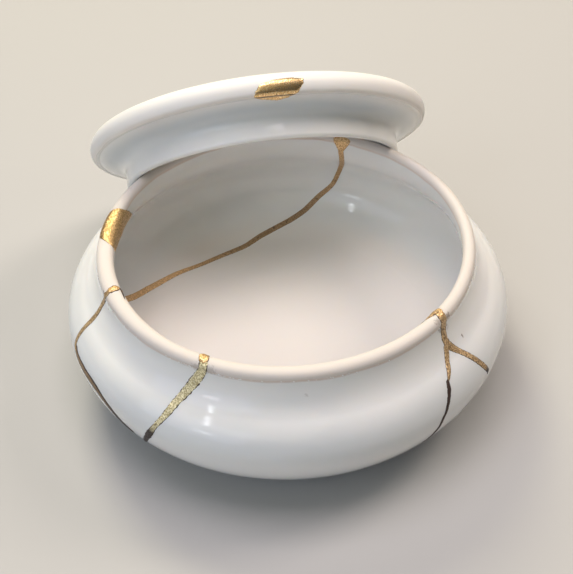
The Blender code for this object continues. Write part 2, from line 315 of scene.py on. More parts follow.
# %% Build the wheel
def build_wheel():
    tree, given = new_tree("Pottery wheel", "Outline", (
        ("Sides", "Int"), ("Rows", "Int"), ("Sway", "Float"), ("Ripple", "Float"), ("Seed", "Float"),
        ("Glaze", "Material")), "Pot")
    columns = calc(tree, "ADD", given["Sides"], 1)
    grid = wire(tree, "GeometryNodeMeshGrid", [("Size X", 1.0), ("Size Y", 1.0), ("Vertices X", columns),
                                               ("Vertices Y", given["Rows"])])
    here = tree.nodes.new("GeometryNodeInputPosition").outputs[0]
    spot = wire(tree, "ShaderNodeSeparateXYZ", [(0, here)])
    around = calc(tree, "MULTIPLY", calc(tree, "ADD", spot.outputs[0], 0.5), 2 * math.pi)
    row = nearest(tree, spot.outputs[1], given["Rows"])
    place = sampled(tree, given["Outline"], row, None, "FLOAT_VECTOR")
    run = sampled(tree, given["Outline"], row, "run", "FLOAT")
    flat = wire(tree, "ShaderNodeSeparateXYZ", [(0, place)])
    cos, sin = calc(tree, "COSINE", around), calc(tree, "SINE", around)
    lift = calc(tree, "MULTIPLY", flat.outputs[2], 12.0)
    ring = wire(tree, "ShaderNodeCombineXYZ", [(0, cos), (1, sin), (2, lift)]).outputs[0]
    sway = swing(tree, noise(tree, ring, 0.9, 1.0, seed=given["Seed"]), given["Sway"])
    ripple = swing(tree, noise(tree, ring, 5.0, 1.0, seed=given["Seed"]), given["Ripple"])
    near_axis = calc(tree, "MINIMUM", calc(tree, "MULTIPLY", flat.outputs[0], 40.0), 1.0)
    push = calc(tree, "MULTIPLY", near_axis, calc(tree, "ADD", sway, ripple))
    radius = calc(tree, "ADD", flat.outputs[0], push)
    east, north = calc(tree, "MULTIPLY", radius, cos), calc(tree, "MULTIPLY", radius, sin)
    spun = wire(tree, "ShaderNodeCombineXYZ", [(0, east), (1, north), (2, flat.outputs[2])])
    marked = noted(tree, grid.outputs["Mesh"], "run", run)
    put_out(tree, wrapped(tree, marked, spun.outputs[0]), given["Glaze"])
    return tree


wheel = build_wheel()
print("wheel nodes:", len(wheel.nodes))


# %% Run a tree and keep a plain mesh
def add_object(name, data):
    """Puts a mesh, a lamp or a camera into the scene."""
    made = bpy.data.objects.new(name, data)
    bpy.context.scene.collection.objects.link(made)
    return made


def grow(name, start_mesh, tree, inputs, resting=None):
    """Feeds a mesh to a node tree and keeps what comes out as an ordinary closed mesh."""
    holder = add_object(name + "_start", start_mesh)
    step = holder.modifiers.new("grow", "NODES")
    step.node_group = tree
    for item in tree.interface.items_tree:
        if item.in_out == "INPUT" and item.name in inputs:
            step[item.identifier] = inputs[item.name]
    bpy.context.view_layer.update()
    graph = bpy.context.evaluated_depsgraph_get()
    mesh = bpy.data.meshes.new_from_object(holder.evaluated_get(graph), preserve_all_data_layers=True,
                                           depsgraph=graph)
    bpy.data.objects.remove(holder, do_unlink=True)
    shaping = bmesh.new()
    shaping.from_mesh(mesh)
    if resting is not None:
        bmesh.ops.transform(shaping, matrix=resting, verts=shaping.verts)
    bmesh.ops.recalc_face_normals(shaping, faces=shaping.faces)
    if shaping.calc_volume(signed=True) < 0:
        bmesh.ops.reverse_faces(shaping, faces=shaping.faces)
    shaping.to_mesh(mesh)
    shaping.free()
    return add_object(name, mesh)


def outline_mesh(name, skin):
    """The half-section as a bare string of points in the XZ plane, with its run in millimetres."""
    mesh = bpy.data.meshes.new(name)
    points = [(r * MM, 0, z * MM) for r, z in skin.points]
    mesh.from_pydata(points, [(i, i + 1) for i in range(len(points) - 1)], [])
    mesh.attributes.new("run", "FLOAT", "POINT").data.foreach_set("value", skin.run.astype(np.float32))
    return mesh


# %% [markdown]
# ## The finishes
#
# Porcelain glaze is a clear glassy skin over a white body. Where it pools, in the cove and under the
# shoulder, it looks blue-grey; the blue-grey laid over the shoulder, the lower belly and the underside of
# the lid's edge is partly that pooled glaze and partly painted shade. The inside floor is given a warmer
# tone that is partly painted warm light. On the lip the glaze was wiped away before firing, so the bare
# clay shows warm and matte with a thin tan line where the glaze ends. The gold is fine metal powder on
# lacquer: grainy, not a mirror, and brown where the powder is thin. Effects that several finishes share are
# node groups that put out colours, masks and heights only.
#
# The small stains beside the mends are listed by azimuth, run, reach and strength. Each is a soft smudge of
# umber.


# %% Shared node groups
def new_group(name, inputs, outputs):
    group = bpy.data.node_groups.new(name, "ShaderNodeTree")
    for label, kind, value in inputs:
        socket = group.interface.new_socket(label, in_out="INPUT", socket_type="NodeSocket" + kind)
        if value is not None:
            socket.default_value = value
    for label, kind in outputs:
        group.interface.new_socket(label, in_out="OUTPUT", socket_type="NodeSocket" + kind)
    return group, group.nodes.new("NodeGroupInput").outputs, group.nodes.new("NodeGroupOutput").inputs


def blend(tree, share, one, two):
    """Mixes two colours by a share from 0 to 1."""
    node = wire(tree, "ShaderNodeMix", [(0, share), (6, one), (7, two)], data_type="RGBA")
    return node.outputs[2]


def ramp(tree, value, low, high, low_to=0.0, high_to=1.0):
    """Eases a value from low..high to low_to..high_to."""
    node = wire(tree, "ShaderNodeMapRange", [(0, value), (1, low), (2, high), (3, low_to), (4, high_to)],
                interpolation_type="SMOOTHSTEP")
    return node.outputs[0]


def build_mottle():
    """Slow and fine unevenness of a fired surface: a share from 0 to 1 and a height."""
    group, given, out = new_group("Kiln mottle", (("Vector", "Vector", None), ("Scale", "Float", 60.0)),
                                  (("Slow", "Float"), ("Height", "Float")))
    slow = noise(group, given["Vector"], given["Scale"], 3.0)
    fine = noise(group, given["Vector"], 900.0, 2.0)
    group.links.new(slow, out["Slow"])
    group.links.new(calc(group, "ADD", slow, calc(group, "MULTIPLY", fine, 0.15)), out["Height"])
    return group


def build_powder():
    """Grains of metal powder: a bright share, a rubbed share and a height."""
    group, given, out = new_group("Powder grain", (("Vector", "Vector", None), ("Grain", "Float", 2600.0),
                                                   ("Patch", "Float", 900.0)),
                                  (("Bright", "Float"), ("Rubbed", "Float"), ("Height", "Float")))
    grain = noise(group, given["Vector"], given["Grain"], 2.0, 0.6)
    patch = noise(group, given["Vector"], given["Patch"], 3.0)
    flake = wire(group, "ShaderNodeTexVoronoi", [("Vector", given["Vector"]), ("Scale", given["Grain"])])
    group.links.new(ramp(group, grain, 0.38, 0.66), out["Bright"])
    group.links.new(ramp(group, patch, 0.56, 0.72), out["Rubbed"])
    height = calc(group, "ADD", grain, calc(group, "MULTIPLY", flake.outputs["Distance"], 0.6))
    group.links.new(height, out["Height"])
    return group


mottle, powder = build_mottle(), build_powder()
print("shared groups:", mottle.name, "and", powder.name)


# %% The porcelain finish
def start_material(name):
    material = bpy.data.materials.new(name)
    material.use_nodes = True
    tree = material.node_tree
    return material, tree, tree.nodes["Principled BSDF"]


def use_group(tree, group, links):
    return wire(tree, "ShaderNodeGroup", links, node_tree=group).outputs


def point_mask(tree, name):
    """A number that the mesh keeps on its points."""
    return wire(tree, "ShaderNodeAttribute", attribute_name=name, attribute_type="GEOMETRY").outputs["Fac"]


def raise_grain(tree, shader, height, distance, strength):
    """Lets a height roughen the surface."""
    bump = wire(tree, "ShaderNodeBump", [("Height", height), ("Distance", distance), ("Strength", strength)])
    tree.links.new(bump.outputs[0], shader.inputs["Normal"])


GLAZE = (0.80, 0.80, 0.79, 1)
# Blue-grey of pooled glaze, also laid as painted shade over the shoulder, the lower belly and under the lid's
# edge.
GLAZE_POOL_AND_SHADE = (0.60, 0.64, 0.67, 1)
# A warmer tone for the inside floor, partly painted warm light.
GLAZE_WARM = (0.83, 0.79, 0.75, 1)
BOWL_CLAY = (0.68, 0.63, 0.59, 1)
LID_CLAY = (0.84, 0.82, 0.79, 1)
TAN = (0.55, 0.38, 0.27, 1)


def build_smudge():
    """A small smudge at a place on the piece: a soft round share broken up by fine noise."""
    group, given, out = new_group("Smudge", (("Vector", "Vector", None), ("Place", "Vector", None),
                                             ("Reach", "Float", 0.001)), (("Share", "Float"),))
    away = wire(group, "ShaderNodeVectorMath", [(0, given["Vector"]), (1, given["Place"])],
                operation="DISTANCE").outputs["Value"]
    near = calc(group, "SUBTRACT", 1.0, calc(group, "DIVIDE", away, given["Reach"]))
    broken = calc(group, "ADD", near, swing(group, noise(group, given["Vector"], 1900.0, 4.0), 2.4))
    share = calc(group, "MULTIPLY", ramp(group, broken, 0.2, 0.75), ramp(group, near, 0.0, 0.3))
    group.links.new(share, out["Share"])
    return group


smudge = build_smudge()
UMBER = (0.13, 0.085, 0.055, 1)


def porcelain(name, clay_colour, bare, fade, pools_and_shade, warm=None, soften=0.12, edge_line=0.4, stains=()):
    """Glazed porcelain. The run of skin in bare has no glaze and shows clay_colour: it starts over fade
    and ends over soften, where edge_line is the strength of the tan line. Over each listed run the glaze
    turns blue-grey, partly as pooled glaze and partly as painted shade; its tone turns over the run in
    warm, partly as painted warm light, and stains are small dark marks."""
    material, tree, shader = start_material(name)
    coords = tree.nodes.new("ShaderNodeTexCoord").outputs["Object"]
    run = point_mask(tree, "run")
    slow, height = use_group(tree, mottle, (("Vector", coords), ("Scale", 45.0)))
    edge_run = calc(tree, "ADD", run, swing(tree, noise(tree, coords, 110.0, 3.0), 1.1))
    colour = blend(tree, ramp(tree, slow, 0.35, 0.7, 0.0, 0.15), GLAZE, GLAZE_POOL_AND_SHADE)
    # Blue-grey over each listed run: pooled glaze and painted shade together.
    for low, high, share in pools_and_shade:
        middle, half = (low + high) / 2, (high - low) / 2
        away = calc(tree, "ABSOLUTE", calc(tree, "SUBTRACT", run, middle))
        colour = blend(tree, ramp(tree, away, half, 0.0, 0.0, share), colour, GLAZE_POOL_AND_SHADE)
    # The inside floor turns warmer, partly as painted warm light.
    if warm:
        colour = blend(tree, ramp(tree, edge_run, warm[0], warm[1], 0.0, 0.9), colour, GLAZE_WARM)
    low, high = bare
    below = ramp(tree, edge_run, low + fade, low - fade)
    above = ramp(tree, edge_run, high - soften, high + soften)
    glazed = calc(tree, "MAXIMUM", below, above)
    line = ramp(tree, calc(tree, "ABSOLUTE", calc(tree, "SUBTRACT", edge_run, high)), 0.45 + soften, 0.05)
    if fade < 1:
        lower = ramp(tree, calc(tree, "ABSOLUTE", calc(tree, "SUBTRACT", edge_run, low)), 0.5, 0.05)
        line = calc(tree, "MAXIMUM", line, lower)
    colour = blend(tree, glazed, clay_colour, colour)
    colour = blend(tree, calc(tree, "MULTIPLY", line, edge_line), colour, TAN)
    for azimuth, at_run, reach, share in stains:
        place = Vector(bowl_skin.place(azimuth, at_run)[0]) * MM
        mark = use_group(tree, smudge, (("Vector", coords), ("Place", place), ("Reach", reach * MM)))[0]
        colour = blend(tree, calc(tree, "MULTIPLY", mark, share), colour, UMBER)
    tree.links.new(ramp(tree, glazed, 0.0, 1.0, 0.6, 0.09), shader.inputs["Roughness"])
    clay = noise(tree, coords, 2600.0, 3.0)
    rough = calc(tree, "MULTIPLY", clay, ramp(tree, glazed, 0.0, 1.0, 0.5, 0.0))
    step = calc(tree, "MULTIPLY", glazed, 0.9)
    height = calc(tree, "ADD", calc(tree, "ADD", height, rough), step)
    tree.links.new(colour, shader.inputs["Base Color"])
    raise_grain(tree, shader, height, 0.00006, 0.6)
    shader.inputs["Subsurface Weight"].default_value = 0.25
    shader.inputs["Subsurface Radius"].default_value = (1.0, 0.8, 0.6)
    shader.inputs["Subsurface Scale"].default_value = 0.0018
    shader.inputs["IOR"].default_value = 1.5
    return material


STAINS = (
    (325.9, 10.5, 0.5, 0.7), (325.8, 11.1, 0.45, 0.6), (317.9, 3.8, 1.4, 0.5), (317.2, 1.2, 1.3, 0.4),
    (321.8, 2.0, 1.2, 0.65), (321.3, 4.6, 0.9, 0.5), (318.6, -1.0, 1.2, 0.4), (248.0, 2.4, 1.9, 0.25),
    (243.6, 2.6, 1.7, 0.25), (201.2, 2.4, 1.0, 0.45), (204.8, 3.6, 0.6, 0.6), (204.9, 5.0, 0.5, 0.5),
    (-155.1, 4.0, 0.6, 0.35), (-85.7, 7.2, 0.7, 0.2), (-38.4, 5.5, 1.0, 0.2),
)
# The shoulder and the lower belly take blue-grey as painted shade mixed with pooled glaze; the inside floor
# is warmer, partly painted warm light.
bowl_glaze = porcelain("bowl_porcelain_glaze", BOWL_CLAY, (-2.5, 3.1), 0.12,
                       ((13.5, 27, 0.45), (27, 60, 0.9)), warm=(-36.0, -44.0), stains=STAINS)
# The underside cove of the lid's edge takes blue-grey as painted shade mixed with pooled glaze.
lid_glaze = porcelain("lid_porcelain_glaze", LID_CLAY, (-6.0, 8.6), 5.0, ((9.5, 19.0, 0.95),),
                      soften=0.6, edge_line=0.15)
print("finishes:", bowl_glaze.name, lid_glaze.name)

# %% [markdown]
# ## Turn the bowl and the lid
#
# The bowl is turned upright. The lid is turned upright too and then tipped into the place where it leans,
# hooked over the rear rim, by moving its mesh, so that its object stays unturned at the origin.

# %% Turn them
LID_REST = (Matrix.Translation(Vector((-6.85, 49.89, 38.05)) * MM)
            @ Euler((math.radians(-50.04), 0, math.radians(7.71))).to_matrix().to_4x4())

bowl = grow("bowl_turned", outline_mesh("bowl_outline", bowl_skin), wheel,
            {"Sides": 300, "Rows": len(bowl_skin.points), "Sway": 0.0002, "Ripple": 0.00006, "Seed": 4.0,
             "Glaze": bowl_glaze})
points = np.zeros(len(bowl.data.vertices) * 3, np.float32)
bowl.data.vertices.foreach_get("co", points)
bowl.data.vertices.foreach_set("co", (settled(points.reshape(-1, 3) / MM) * MM).astype(np.float32).ravel())
bowl.data.update()
lid = grow("lid_turned", outline_mesh("lid_outline", lid_skin), wheel,
           {"Sides": 280, "Rows": len(lid_skin.points), "Sway": 0.0002, "Ripple": 0.00006, "Seed": 9.0,
            "Glaze": lid_glaze}, LID_REST)
for piece, node, slot in ((bowl, "bowl", "bowl_porcelain"), (lid, "lid", "lid_porcelain")):
    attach(piece, "root")
    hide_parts(node)
    print(piece.name, "faces:", len(piece.data.polygons))


# %% [markdown]
# ## Beads along the edge of the glaze
#
# Where the glaze was wiped off the lip it drew up into tiny beads when it melted. Some stand in a row at
# the front left and glint. A second tree sets small drops on a string of points and varies their size.


# %% String the glaze beads
def build_beads():
    tree, given = new_tree("Glaze beads", "Path", (
        ("Size", "Float"), ("Run", "Float"), ("Seed", "Int"), ("Glaze", "Material")), "Beads")
    drop = wire(tree, "GeometryNodeMeshUVSphere", [("Segments", 8), ("Rings", 5), ("Radius", given["Size"])])
    scale = wire(tree, "FunctionNodeRandomValue", [(2, 0.35), (3, 1.0), ("Seed", given["Seed"])]).outputs[1]
    strung = wire(tree, "GeometryNodeInstanceOnPoints",
                  [("Points", given["Path"]), ("Instance", drop.outputs["Mesh"]), ("Scale", scale)])
    whole = wire(tree, "GeometryNodeRealizeInstances", [("Geometry", strung.outputs[0])])
    put_out(tree, noted(tree, whole.outputs[0], "run", given["Run"]), given["Glaze"])
    return tree


bead_tree = build_beads()
dice = np.random.default_rng(12)
clusters = np.concatenate([dice.normal(240.6, 1.2, 9), dice.normal(252, 2.6, 16), dice.uniform(0, 360, 150)])
bead_path = bpy.data.meshes.new("bead_path")
bead_path.from_pydata([tuple(bowl_skin.place(a, r, -0.03)[0] * MM)
                       for a, r in zip(clusters, dice.normal(3.15, 0.1, len(clusters)))], [], [])
beads = grow("glaze_edge_beads", bead_path, bead_tree,
             {"Size": 0.00024, "Run": 6.0, "Seed": 5, "Glaze": bowl_glaze})
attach(beads, "root")
print("glaze beads:", len(clusters), "faces:", len(beads.data.polygons))

# %% [markdown]
# ## The gold finish
#
# Gold powder on lacquer is a rough metal with bright flecks. Its edges and worn spots show the dark lacquer
# below. Each mend carries two painted masks: `edge` grows to 1 at its border, and `gold` falls to 0 where
# only a dark thread of lacquer is left; on the lid patch it also falls along a line of painted shade at the
# turn of the edge.


# %% The gold finish
LACQUER = (0.03, 0.018, 0.016, 1)
LACQUER_LIGHT = (0.075, 0.048, 0.038, 1)


def gold(name, light, deep, worn, shine, rough, lift=0.00012):
    """Gold powder over lacquer: light and deep gold, how much has worn off, how metallic it is, how rough
    it is between the flecks and on them, and how high its grain stands in metres."""
    material, tree, shader = start_material(name)
    coords = tree.nodes.new("ShaderNodeTexCoord").outputs["Object"]
    edge, left = point_mask(tree, "edge"), point_mask(tree, "gold")
    bright, rubbed, height = use_group(tree, powder, (("Vector", coords),))
    colour = blend(tree, bright, deep, light)
    border = ramp(tree, calc(tree, "ADD", edge, calc(tree, "MULTIPLY", bright, -0.12)), 0.86, 0.99)
    bare = calc(tree, "MAXIMUM", border, calc(tree, "MULTIPLY", rubbed, worn))
    # Where the gold mask is low the lacquer shows; on the lid patch that mask also carries a painted shade
    # line.
    thin = calc(tree, "ADD", calc(tree, "SUBTRACT", 1.0, left), calc(tree, "MULTIPLY", rubbed, worn))
    bare = calc(tree, "MAXIMUM", bare, ramp(tree, thin, 0.35, 0.75))
    colour = blend(tree, bare, colour, LACQUER)
    tree.links.new(colour, shader.inputs["Base Color"])
    tree.links.new(ramp(tree, bare, 0.0, 1.0, shine, 0.0), shader.inputs["Metallic"])
    tree.links.new(ramp(tree, bright, 0.0, 1.0, *rough), shader.inputs["Roughness"])
    raise_grain(tree, shader, height, lift, 0.9)
    return material


def lacquer(name):
    """Bare brown-black lacquer: satin, a little uneven."""
    material, tree, shader = start_material(name)
    coords = tree.nodes.new("ShaderNodeTexCoord").outputs["Object"]
    slow, height = use_group(tree, mottle, (("Vector", coords), ("Scale", 700.0)))
    tree.links.new(blend(tree, slow, LACQUER, LACQUER_LIGHT), shader.inputs["Base Color"])
    tree.links.new(ramp(tree, slow, 0.3, 0.7, 0.5, 0.65), shader.inputs["Roughness"])
    shader.inputs["Specular IOR Level"].default_value = 0.25
    raise_grain(tree, shader, height, 0.00005, 0.6)
    return material


bright_gold = gold("rim_cap_gold_powder", (0.86, 0.62, 0.35, 1), (0.48, 0.29, 0.12, 1), 0.4, shine=0.75,
                   rough=(0.52, 0.36))
patch_gold = gold("rim_gold_powder", (0.88, 0.62, 0.31, 1), (0.44, 0.27, 0.11, 1), 0.12, shine=0.88,
                  rough=(0.44, 0.3))
pale_gold = gold("front_seam_gold_powder", (1.0, 0.92, 0.62, 1), (0.50, 0.42, 0.22, 1), 0.25, shine=0.3,
                 rough=(0.55, 0.35), lift=0.00025)
tan_gold = gold("forked_seam_gold_powder", (0.72, 0.52, 0.29, 1), (0.30, 0.19, 0.09, 1), 0.45, shine=0.45,
                rough=(0.6, 0.42))
brown_gold = gold("long_seam_gold_powder", (0.86, 0.57, 0.29, 1), (0.58, 0.36, 0.17, 1), 0.08, shine=0.3,
                  rough=(0.62, 0.5))
lid_gold = gold("lid_edge_gold_powder", (0.98, 0.74, 0.42, 1), (0.62, 0.40, 0.18, 1), 0.04, shine=0.92,
                rough=(0.34, 0.26), lift=0.00002)
dark_lacquer = lacquer("dark_lacquer")
print("gold finishes made")


# %% [markdown]
# ## Laying a seam: the third Geometry Nodes tree
#
# A seam is a thin ridge that follows a crooked path over the skin. The tree is given the path as a string
# of points, each with the way up, the way across and half its width. It lays a ring of points round each
# place: a low crown above the skin and a root sunk into it. Noise frays the sides, as a brush of lacquer
# does.


# %% Build the seam layer
def build_seam_tree():
    tree, given = new_tree("Seam layer", "Path", (
        ("Stations", "Int"), ("Around", "Int"), ("Crown", "Float"), ("Root", "Float"), ("Fray", "Float"),
        ("Lump", "Float"), ("Seed", "Float"), ("Gold", "Material")), "Seam")
    grid = wire(tree, "GeometryNodeMeshGrid",
                [("Size X", 1.0), ("Size Y", 1.0), ("Vertices X", given["Stations"]),
                 ("Vertices Y", calc(tree, "ADD", given["Around"], 1))])
    here = tree.nodes.new("GeometryNodeInputPosition").outputs[0]
    spot = wire(tree, "ShaderNodeSeparateXYZ", [(0, here)])
    path, station = given["Path"], nearest(tree, spot.outputs[0], given["Stations"])
    middle, up, across = (sampled(tree, path, station, n, "FLOAT_VECTOR") for n in (None, "up", "across"))
    half, left = (sampled(tree, path, station, n, "FLOAT") for n in ("half", "gold"))
    turn = calc(tree, "MULTIPLY", calc(tree, "ADD", spot.outputs[1], 0.5), 2 * math.pi)
    wide, tall = calc(tree, "COSINE", turn), calc(tree, "SINE", turn)

    def scaled(vector, factor):
        return wire(tree, "ShaderNodeVectorMath", [(0, vector), (3, factor)], operation="SCALE").outputs[0]

    def added(one, two):
        return wire(tree, "ShaderNodeVectorMath", [(0, one), (1, two)], operation="ADD").outputs[0]

    side = added(middle, scaled(across, calc(tree, "MULTIPLY", half, wide)))
    fray = swing(tree, noise(tree, side, 1100.0, 3.0, 0.65, given["Seed"]), given["Fray"])
    lump = swing(tree, noise(tree, side, 2400.0, 2.0, seed=given["Seed"]), given["Lump"])
    reach = calc(tree, "MULTIPLY", half, calc(tree, "ADD", 1.0, fray))
    thin = calc(tree, "MINIMUM", calc(tree, "MULTIPLY", half, 2200.0), 1.0)
    arch = calc(tree, "POWER", calc(tree, "MAXIMUM", tall, 0.0), 0.7)
    crown = calc(tree, "MULTIPLY", arch, calc(tree, "ADD", given["Crown"], lump))
    root = calc(tree, "MULTIPLY", calc(tree, "MINIMUM", tall, 0.0), given["Root"])
    height = calc(tree, "MULTIPLY", calc(tree, "ADD", crown, root), thin)
    place = added(added(middle, scaled(across, calc(tree, "MULTIPLY", reach, wide))), scaled(up, height))
    marked = noted(tree, grid.outputs["Mesh"], "edge", calc(tree, "ABSOLUTE", wide))
    put_out(tree, wrapped(tree, noted(tree, marked, "gold", left), place), given["Gold"])
    return tree


seam_layer = build_seam_tree()
print("seam layer nodes:", len(seam_layer.nodes))


# %% Lay a path over the skin
def path_mesh(name, way, spacing=0.22):
    """A string of points over the bowl: stations are azimuth, run, width and how much gold is left."""
    way = np.array([w if len(w) == 4 else (*w, 1.0) for w in way], float)
    padded = np.vstack([way[0], way, way[-1]])
    dense = []
    for before, one, two, after in zip(padded, padded[1:], padded[2:], padded[3:]):
        t = np.linspace(0, 1, 24, endpoint=False)[:, None]
        dense.append(0.5 * (2 * one + t * (two - before) + t ** 2 * (2 * before - 5 * one + 4 * two - after)
                            + t ** 3 * (3 * one - before - 3 * two + after)))
    dense = np.vstack(dense + [way[-1:]])
    places = np.array([bowl_skin.place(a, s)[0] for a, s, _, _ in dense])
    length = np.concatenate([[0], np.cumsum(np.linalg.norm(np.diff(places, axis=0), axis=1))])
    count = max(int(length[-1] / spacing), 8)
    even = np.linspace(0, length[-1], count)
    stations = np.stack([np.interp(even, length, dense[:, k]) for k in range(4)], 1)
    found = [bowl_skin.place(a, s) for a, s, _, _ in stations]
    points = np.array([f[0] for f in found]) * MM
    up = np.array([f[1] for f in found])
    along = np.gradient(points, axis=0)
    across = np.cross(along, up)
    across /= np.linalg.norm(across, axis=1)[:, None]
    ends = np.minimum(even, length[-1] - even)
    half = stations[:, 2] / 2 * MM * np.sqrt(np.clip(ends / 0.9, 0, 1))
    mesh = bpy.data.meshes.new(name)
    mesh.from_pydata(points.tolist(), [(i, i + 1) for i in range(count - 1)], [])
    for label, values, kind, field in (("up", up, "FLOAT_VECTOR", "vector"),
                                       ("across", across, "FLOAT_VECTOR", "vector"),
                                       ("half", half, "FLOAT", "value"),
                                       ("gold", stations[:, 3], "FLOAT", "value")):
        mesh.attributes.new(label, kind, "POINT").data.foreach_set(field, values.astype(np.float32).ravel())
    return mesh, count


def lay_seam(name, way, finish, node, slot, crown=0.00016, fray=0.5, lump=0.00006, seed=1.0):
    """One seam as a piece that rides on the box and stands for its CAD node."""
    mesh, count = path_mesh(name + "_path", way)
    piece = grow(name, mesh, seam_layer, {"Stations": count, "Around": 22, "Crown": crown, "Root": 0.0005,
                                          "Fray": fray, "Lump": lump, "Seed": seed, "Gold": finish})
    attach(piece, "root")
    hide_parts(node)
    print(name, "stations:", count, "faces:", len(piece.data.polygons))


# %% Widen a way for its lacquer bed
def widened(way, extra):
    """The same way, a little wider and without its gold share."""
    return [(*w[:2], w[2] + extra) for w in way]


# %% [markdown]
# ## The long seam
#
# One crack ran right through the wall. Inside, it starts under the lid as a small gold triangle where a
# chip was filled, crosses the floor and climbs the left wall. It passes over the rim as a bright bead, runs
# down the outside, and goes on round the belly as a thin brown thread. From the rim outwards its gold lies
# on a lower, slightly wider and more ragged bed of dark lacquer, which shows here and there along the sides.

# %% Lay the long seam
TRIANGLE_WAY = (
    (68.2, -0.5, 5.4), (68.2, -1.6, 5.2), (68.3, -2.8, 4.2), (68.4, -4.0, 2.8), (68.5, -5.2, 1.6),
    (68.6, -6.2, 0.8),
)
INSIDE_WAY = (
    (68.5, -4.6, 1.6, 0.6), (68.7, -9, 1.6, 0.54), (70.2, -16.2, 1.5, 0.5), (72.7, -24.3, 1.4, 0.5),
    (74.6, -28.3, 1.4, 0.48), (78.4, -32, 1.6, 0.46), (82.4, -36.1, 1.7, 0.43), (86.7, -39, 1.7, 0.43),
    (91.6, -41.3, 1.7, 0.43), (100, -44.4, 1.8, 0.44), (110.7, -47.7, 1.8, 0.47), (128, -47.9, 1.5, 0.52),
    (141.7, -45.3, 1.6, 0.65), (153.5, -42.7, 1.9), (164.7, -38.3, 2), (178.1, -26.1, 1.9),
    (192.1, -12.7, 1.6), (200.2, -5.1, 1.5), (203, -2.4, 1.4),
)
BEAD_WAY = ((202.6, -1.4, 1.2), (202.6, -0.8, 1.7), (202.8, 0, 1.8), (202.9, 0.7, 1.6), (203.1, 1.3, 1.2))
RIM_THREAD = (
    (201.6, -0.6, 0.5), (202.6, -1.4, 0.6), (204.3, -1.5, 0.55), (206.4, -1.3, 0.45), (208.6, -1.0, 0.3),
)
LEFT_WAY = (
    (203.3, 0.6, 1.3), (203, 1.8, 1.4), (201.4, 4.4, 1.4), (199.8, 7.5, 1.4), (199.6, 11.8, 1.5),
    (200, 15.3, 1.3), (200.5, 20.4, 1.2, 0.8), (202, 22, 1.1, 0.5),
)
THREAD_WAY = (
    (200.6, 20.4, 1.2, 0.4), (203.4, 22.1, 1.5, 0.42), (208.4, 22.6, 1.8, 0.42), (214.4, 23.1, 1.8, 0.4),
    (219.4, 25.2, 1.6, 0.35), (223.6, 27.8, 1.3, 0.2), (227.6, 30, 1.0, 0),
)
LONG = ("long_seam", "long_seam_gold")
lay_seam("triangle_gold", TRIANGLE_WAY, bright_gold, *LONG, seed=2.0, fray=0.3)
lay_seam("long_seam_inside", INSIDE_WAY, brown_gold, *LONG, seed=3.0, fray=0.3)
lay_seam("rim_bead_lacquer", widened(BEAD_WAY, 0.4), dark_lacquer, *LONG, seed=3.3, fray=0.8, crown=0.00009)
lay_seam("rim_thread_lacquer", RIM_THREAD, dark_lacquer, *LONG, seed=3.6, fray=0.5, crown=0.0001)
lay_seam("rim_bead_gold", BEAD_WAY, bright_gold, *LONG, seed=4.0, fray=0.25, crown=0.00024)
lay_seam("left_seam_lacquer", widened(LEFT_WAY, 0.15), dark_lacquer, *LONG, seed=4.3, fray=0.5, crown=0.00008)
lay_seam("left_seam_gold", LEFT_WAY, tan_gold, *LONG, seed=4.6, fray=0.35)
lay_seam("belly_thread_lacquer", widened(THREAD_WAY, 0.6), dark_lacquer, *LONG, seed=4.7, fray=0.5,
         crown=0.00008)
lay_seam("belly_thread", THREAD_WAY, brown_gold, *LONG, seed=4.8, fray=0.5, crown=0.00012)

# %% [markdown]
# ## The front seams
#
# The wide seam at the front left is pale and coarse, with frayed sides and a bright cap on the rim. The one
# at the front right leaves the rim with a small claw along its inner edge and forks into two, one of which
# thins to a black thread of lacquer.

# %% Lay the front seams
FRONT_WAY = (
    (245.6, -0.2, 1.7), (245.7, 1, 1.9), (245.7, 2.4, 2.0), (244.8, 4.4, 2.3), (243.4, 6.6, 2.4),
    (241.8, 9.2, 2.2), (239.9, 12.6, 2.0), (238.4, 16.6, 1.6, 0.9), (236.9, 19.4, 1.2, 0.7),
    (235.6, 21.8, 1.2, 0.5), (234.6, 23.8, 1.6, 0.15), (233.3, 26.2, 1.4, 0),
    (231.6, 29.4, 1.0, 0), (230.4, 32, 0.7, 0),
)
CAP_WAY = ((244.4, -1.7, 1.6), (244.6, -1, 2.3), (245, -0.2, 2.4), (245.6, 0.7, 2.2), (245.8, 1.3, 1.2))
STEM_WAY = (
    (320.6, -0.4, 1.7), (319.9, 0.6, 2.2), (319.6, 2, 2.2), (319.5, 4, 2.1), (319.4, 6, 2.0), (319.3, 8, 1.9),
    (319.9, 10, 1.9), (321.4, 12.2, 1.5), (323.2, 15.4, 1.35), (325, 19, 1.3, 0.9), (326.3, 21.4, 1.15, 0.5),
    (327.3, 23.2, 0.9, 0.1), (327.2, 24.6, 0.5, 0),
)
STEM_CAP = ((321.6, -1.6, 1.0), (321, -1.0, 1.8), (320.3, -0.2, 2.1), (319.8, 0.7, 1.9), (319.6, 1.4, 1.2))
BRANCH_WAY = (
    (319, 8.6, 1.5), (317.9, 10.4, 1.5), (316.6, 12, 1.3), (315.1, 14, 1.1), (313.9, 15.2, 0.8),
    (313, 16.2, 0.4),
)
BLACK_WAY = (
    (313.4, 15.4, 0.6), (312.6, 16.4, 1.0), (311.9, 18.1, 1.2), (310.8, 20, 1.05), (309.6, 22.3, 0.9),
    (308.6, 24.3, 0.9), (307.8, 27.1, 0.95), (306.5, 29.4, 0.9), (304.6, 33, 0.6),
)
CLAW_WAY = (
    (321.4, -1.1, 1.8), (319.8, -1.1, 2.1), (318.2, -1.2, 1.5), (316.6, -1.3, 0.8), (315.2, -1.4, 0.3),
)
